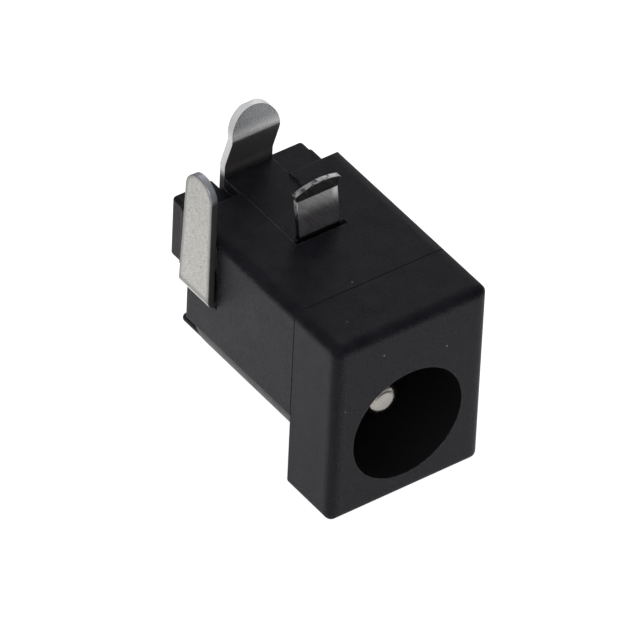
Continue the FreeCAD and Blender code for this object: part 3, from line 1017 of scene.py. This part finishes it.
dress("housing", plastic)
dress("centre_pin", nickel)
dress("rear_terminal", rear_tin)
dress("spring_contact", worn_tin)
dress("switch_contact", side_tin)
print("dressed", len(nodes), "nodes")

# %% [markdown]
# Floor
#
# The photograph has a pure white ground. The floor is a plain diffuse sheet that also glows for rays
# from the camera and for reflections, so it reads as white without extra light on the part, and the
# soft shadow stays. In reflections the glow is strongest in a pool behind the part and fades with
# distance, as the light of a studio table does. It gives the front face, the side and the barrel
# their different levels.

# %% Floor
FLOOR_SIZE = 0.11
FLOOR_GAP = 0.02 * MM
FLOOR_GREY = grey(0.45)
CAMERA_GLOW = 0.9
MIRROR_GLOW = 0.78
FAR_GLOW = 0.16
POOL = Vector((4.0, 19.0, -4.4)) * MM
POOL_CORE = 6.0 * MM
POOL_RADIUS = 42.0 * MM


def make_ground_material():
    """Matte ground that glows for the camera and, less and less with distance, for reflections."""
    material = bpy.data.materials.new("white ground")
    material.use_nodes = True
    tree = material.node_tree
    tree.nodes.clear()
    paths = put(tree, "ShaderNodeLightPath").outputs
    mirrored = maths(tree, "MAXIMUM", paths["Is Glossy Ray"], paths["Is Transmission Ray"])
    place = put(tree, "ShaderNodeTexCoord").outputs["Object"]
    away = vector_maths(tree, "DISTANCE", place, POOL).outputs["Value"]
    reach = ramp(tree, away, POOL_CORE, POOL_RADIUS, MIRROR_GLOW, FAR_GLOW)
    mirrored = times(tree, mirrored, reach)
    total = maths(tree, "MULTIPLY_ADD", paths["Is Camera Ray"], CAMERA_GLOW, mirrored)
    glow = feed(tree, put(tree, "ShaderNodeEmission"), Color=grey(1.0), Strength=total)
    matte = feed(tree, put(tree, "ShaderNodeBsdfDiffuse"), Color=FLOOR_GREY)
    both = put(tree, "ShaderNodeAddShader")
    tree.links.new(glow.outputs[0], both.inputs[0])
    tree.links.new(matte.outputs[0], both.inputs[1])
    feed(tree, put(tree, "ShaderNodeOutputMaterial"), Surface=both.outputs[0])
    return material


def make_floor():
    """White ground under the front block."""
    bottom = cad_box[0].z - FLOOR_GAP
    half = FLOOR_SIZE / 2
    signs = [(-1, -1), (1, -1), (1, 1), (-1, 1)]
    corners = [(x_sign * half, y_sign * half, bottom) for x_sign, y_sign in signs]
    mesh = bpy.data.meshes.new("floor")
    mesh.from_pydata(corners, [], [(0, 1, 2, 3)])
    floor = bpy.data.objects.new("floor", mesh)
    bpy.context.scene.collection.objects.link(floor)
    mesh.materials.append(make_ground_material())


make_floor()
print("floor at z", round(cad_box[0].z / MM, 3), "mm")

# %% [markdown]
# Room
#
# The world is white to the camera. In reflections it is dim on the camera's side and a little lighter
# behind the part, and it fades towards the horizon. That gives the front top edge its dark band and
# the metal its contrast. All other rays meet one even light grey, which fills the shadows.

# %% Room
FRONT_ROOM = 0.24
BACK_ROOM = 0.34
HORIZON_SHARE = 0.5
ROOM_FILL = 0.7


def make_room():
    """White to the camera. In reflections it is dim in front of the part and lighter behind it."""
    world = bpy.data.worlds.new("room")
    bpy.context.scene.world = world
    world.use_nodes = True
    tree = world.node_tree
    background = tree.nodes["Background"]
    rearwards, upwards = axes(tree, put(tree, "ShaderNodeTexCoord").outputs["Generated"])[1:]
    level = ramp(tree, rearwards, -0.4, 0.6, FRONT_ROOM, BACK_ROOM)
    level = times(tree, level, ramp(tree, upwards, 0.0, 0.6, HORIZON_SHARE, 1.0))
    paths = put(tree, "ShaderNodeLightPath").outputs
    reflected = blend(tree, paths["Is Glossy Ray"], grey(ROOM_FILL), level)
    seen = blend(tree, paths["Is Camera Ray"], reflected, grey(1.0))
    feed(tree, background, Color=seen, Strength=1.0)


make_room()
print("room from", FRONT_ROOM, "in front to", BACK_ROOM, "behind")

# %% [markdown]
# Lamps
#
# Two square soft boxes are enough. The key lamp stands high at the front left. The weaker one stands
# at the rear right, so that the faces turned away from the key lamp don't go flat.

# %% Lamps
LAMP_SIZE = 0.35


def add_lamp(name, place, power):
    """Square soft box that faces the part."""
    data = bpy.data.lights.new(name, "AREA")
    data.energy = power
    data.size = LAMP_SIZE
    lamp = bpy.data.objects.new(name, data)
    lamp.location = place
    lamp.rotation_mode = "QUATERNION"
    lamp.rotation_quaternion = (AIM - Vector(place)).to_track_quat("-Z", "Y")
    bpy.context.scene.collection.objects.link(lamp)


add_lamp("key lamp", (-0.32, -0.26, 0.28), 0.5)
add_lamp("rear lamp", (0.4, 0.3, 0.2), 0.25)
print("lamps placed")

# %% [markdown]
# Finish
#
# The colours are shown as they are written.

# %% Finish
bpy.context.scene.view_settings.view_transform = "Standard"
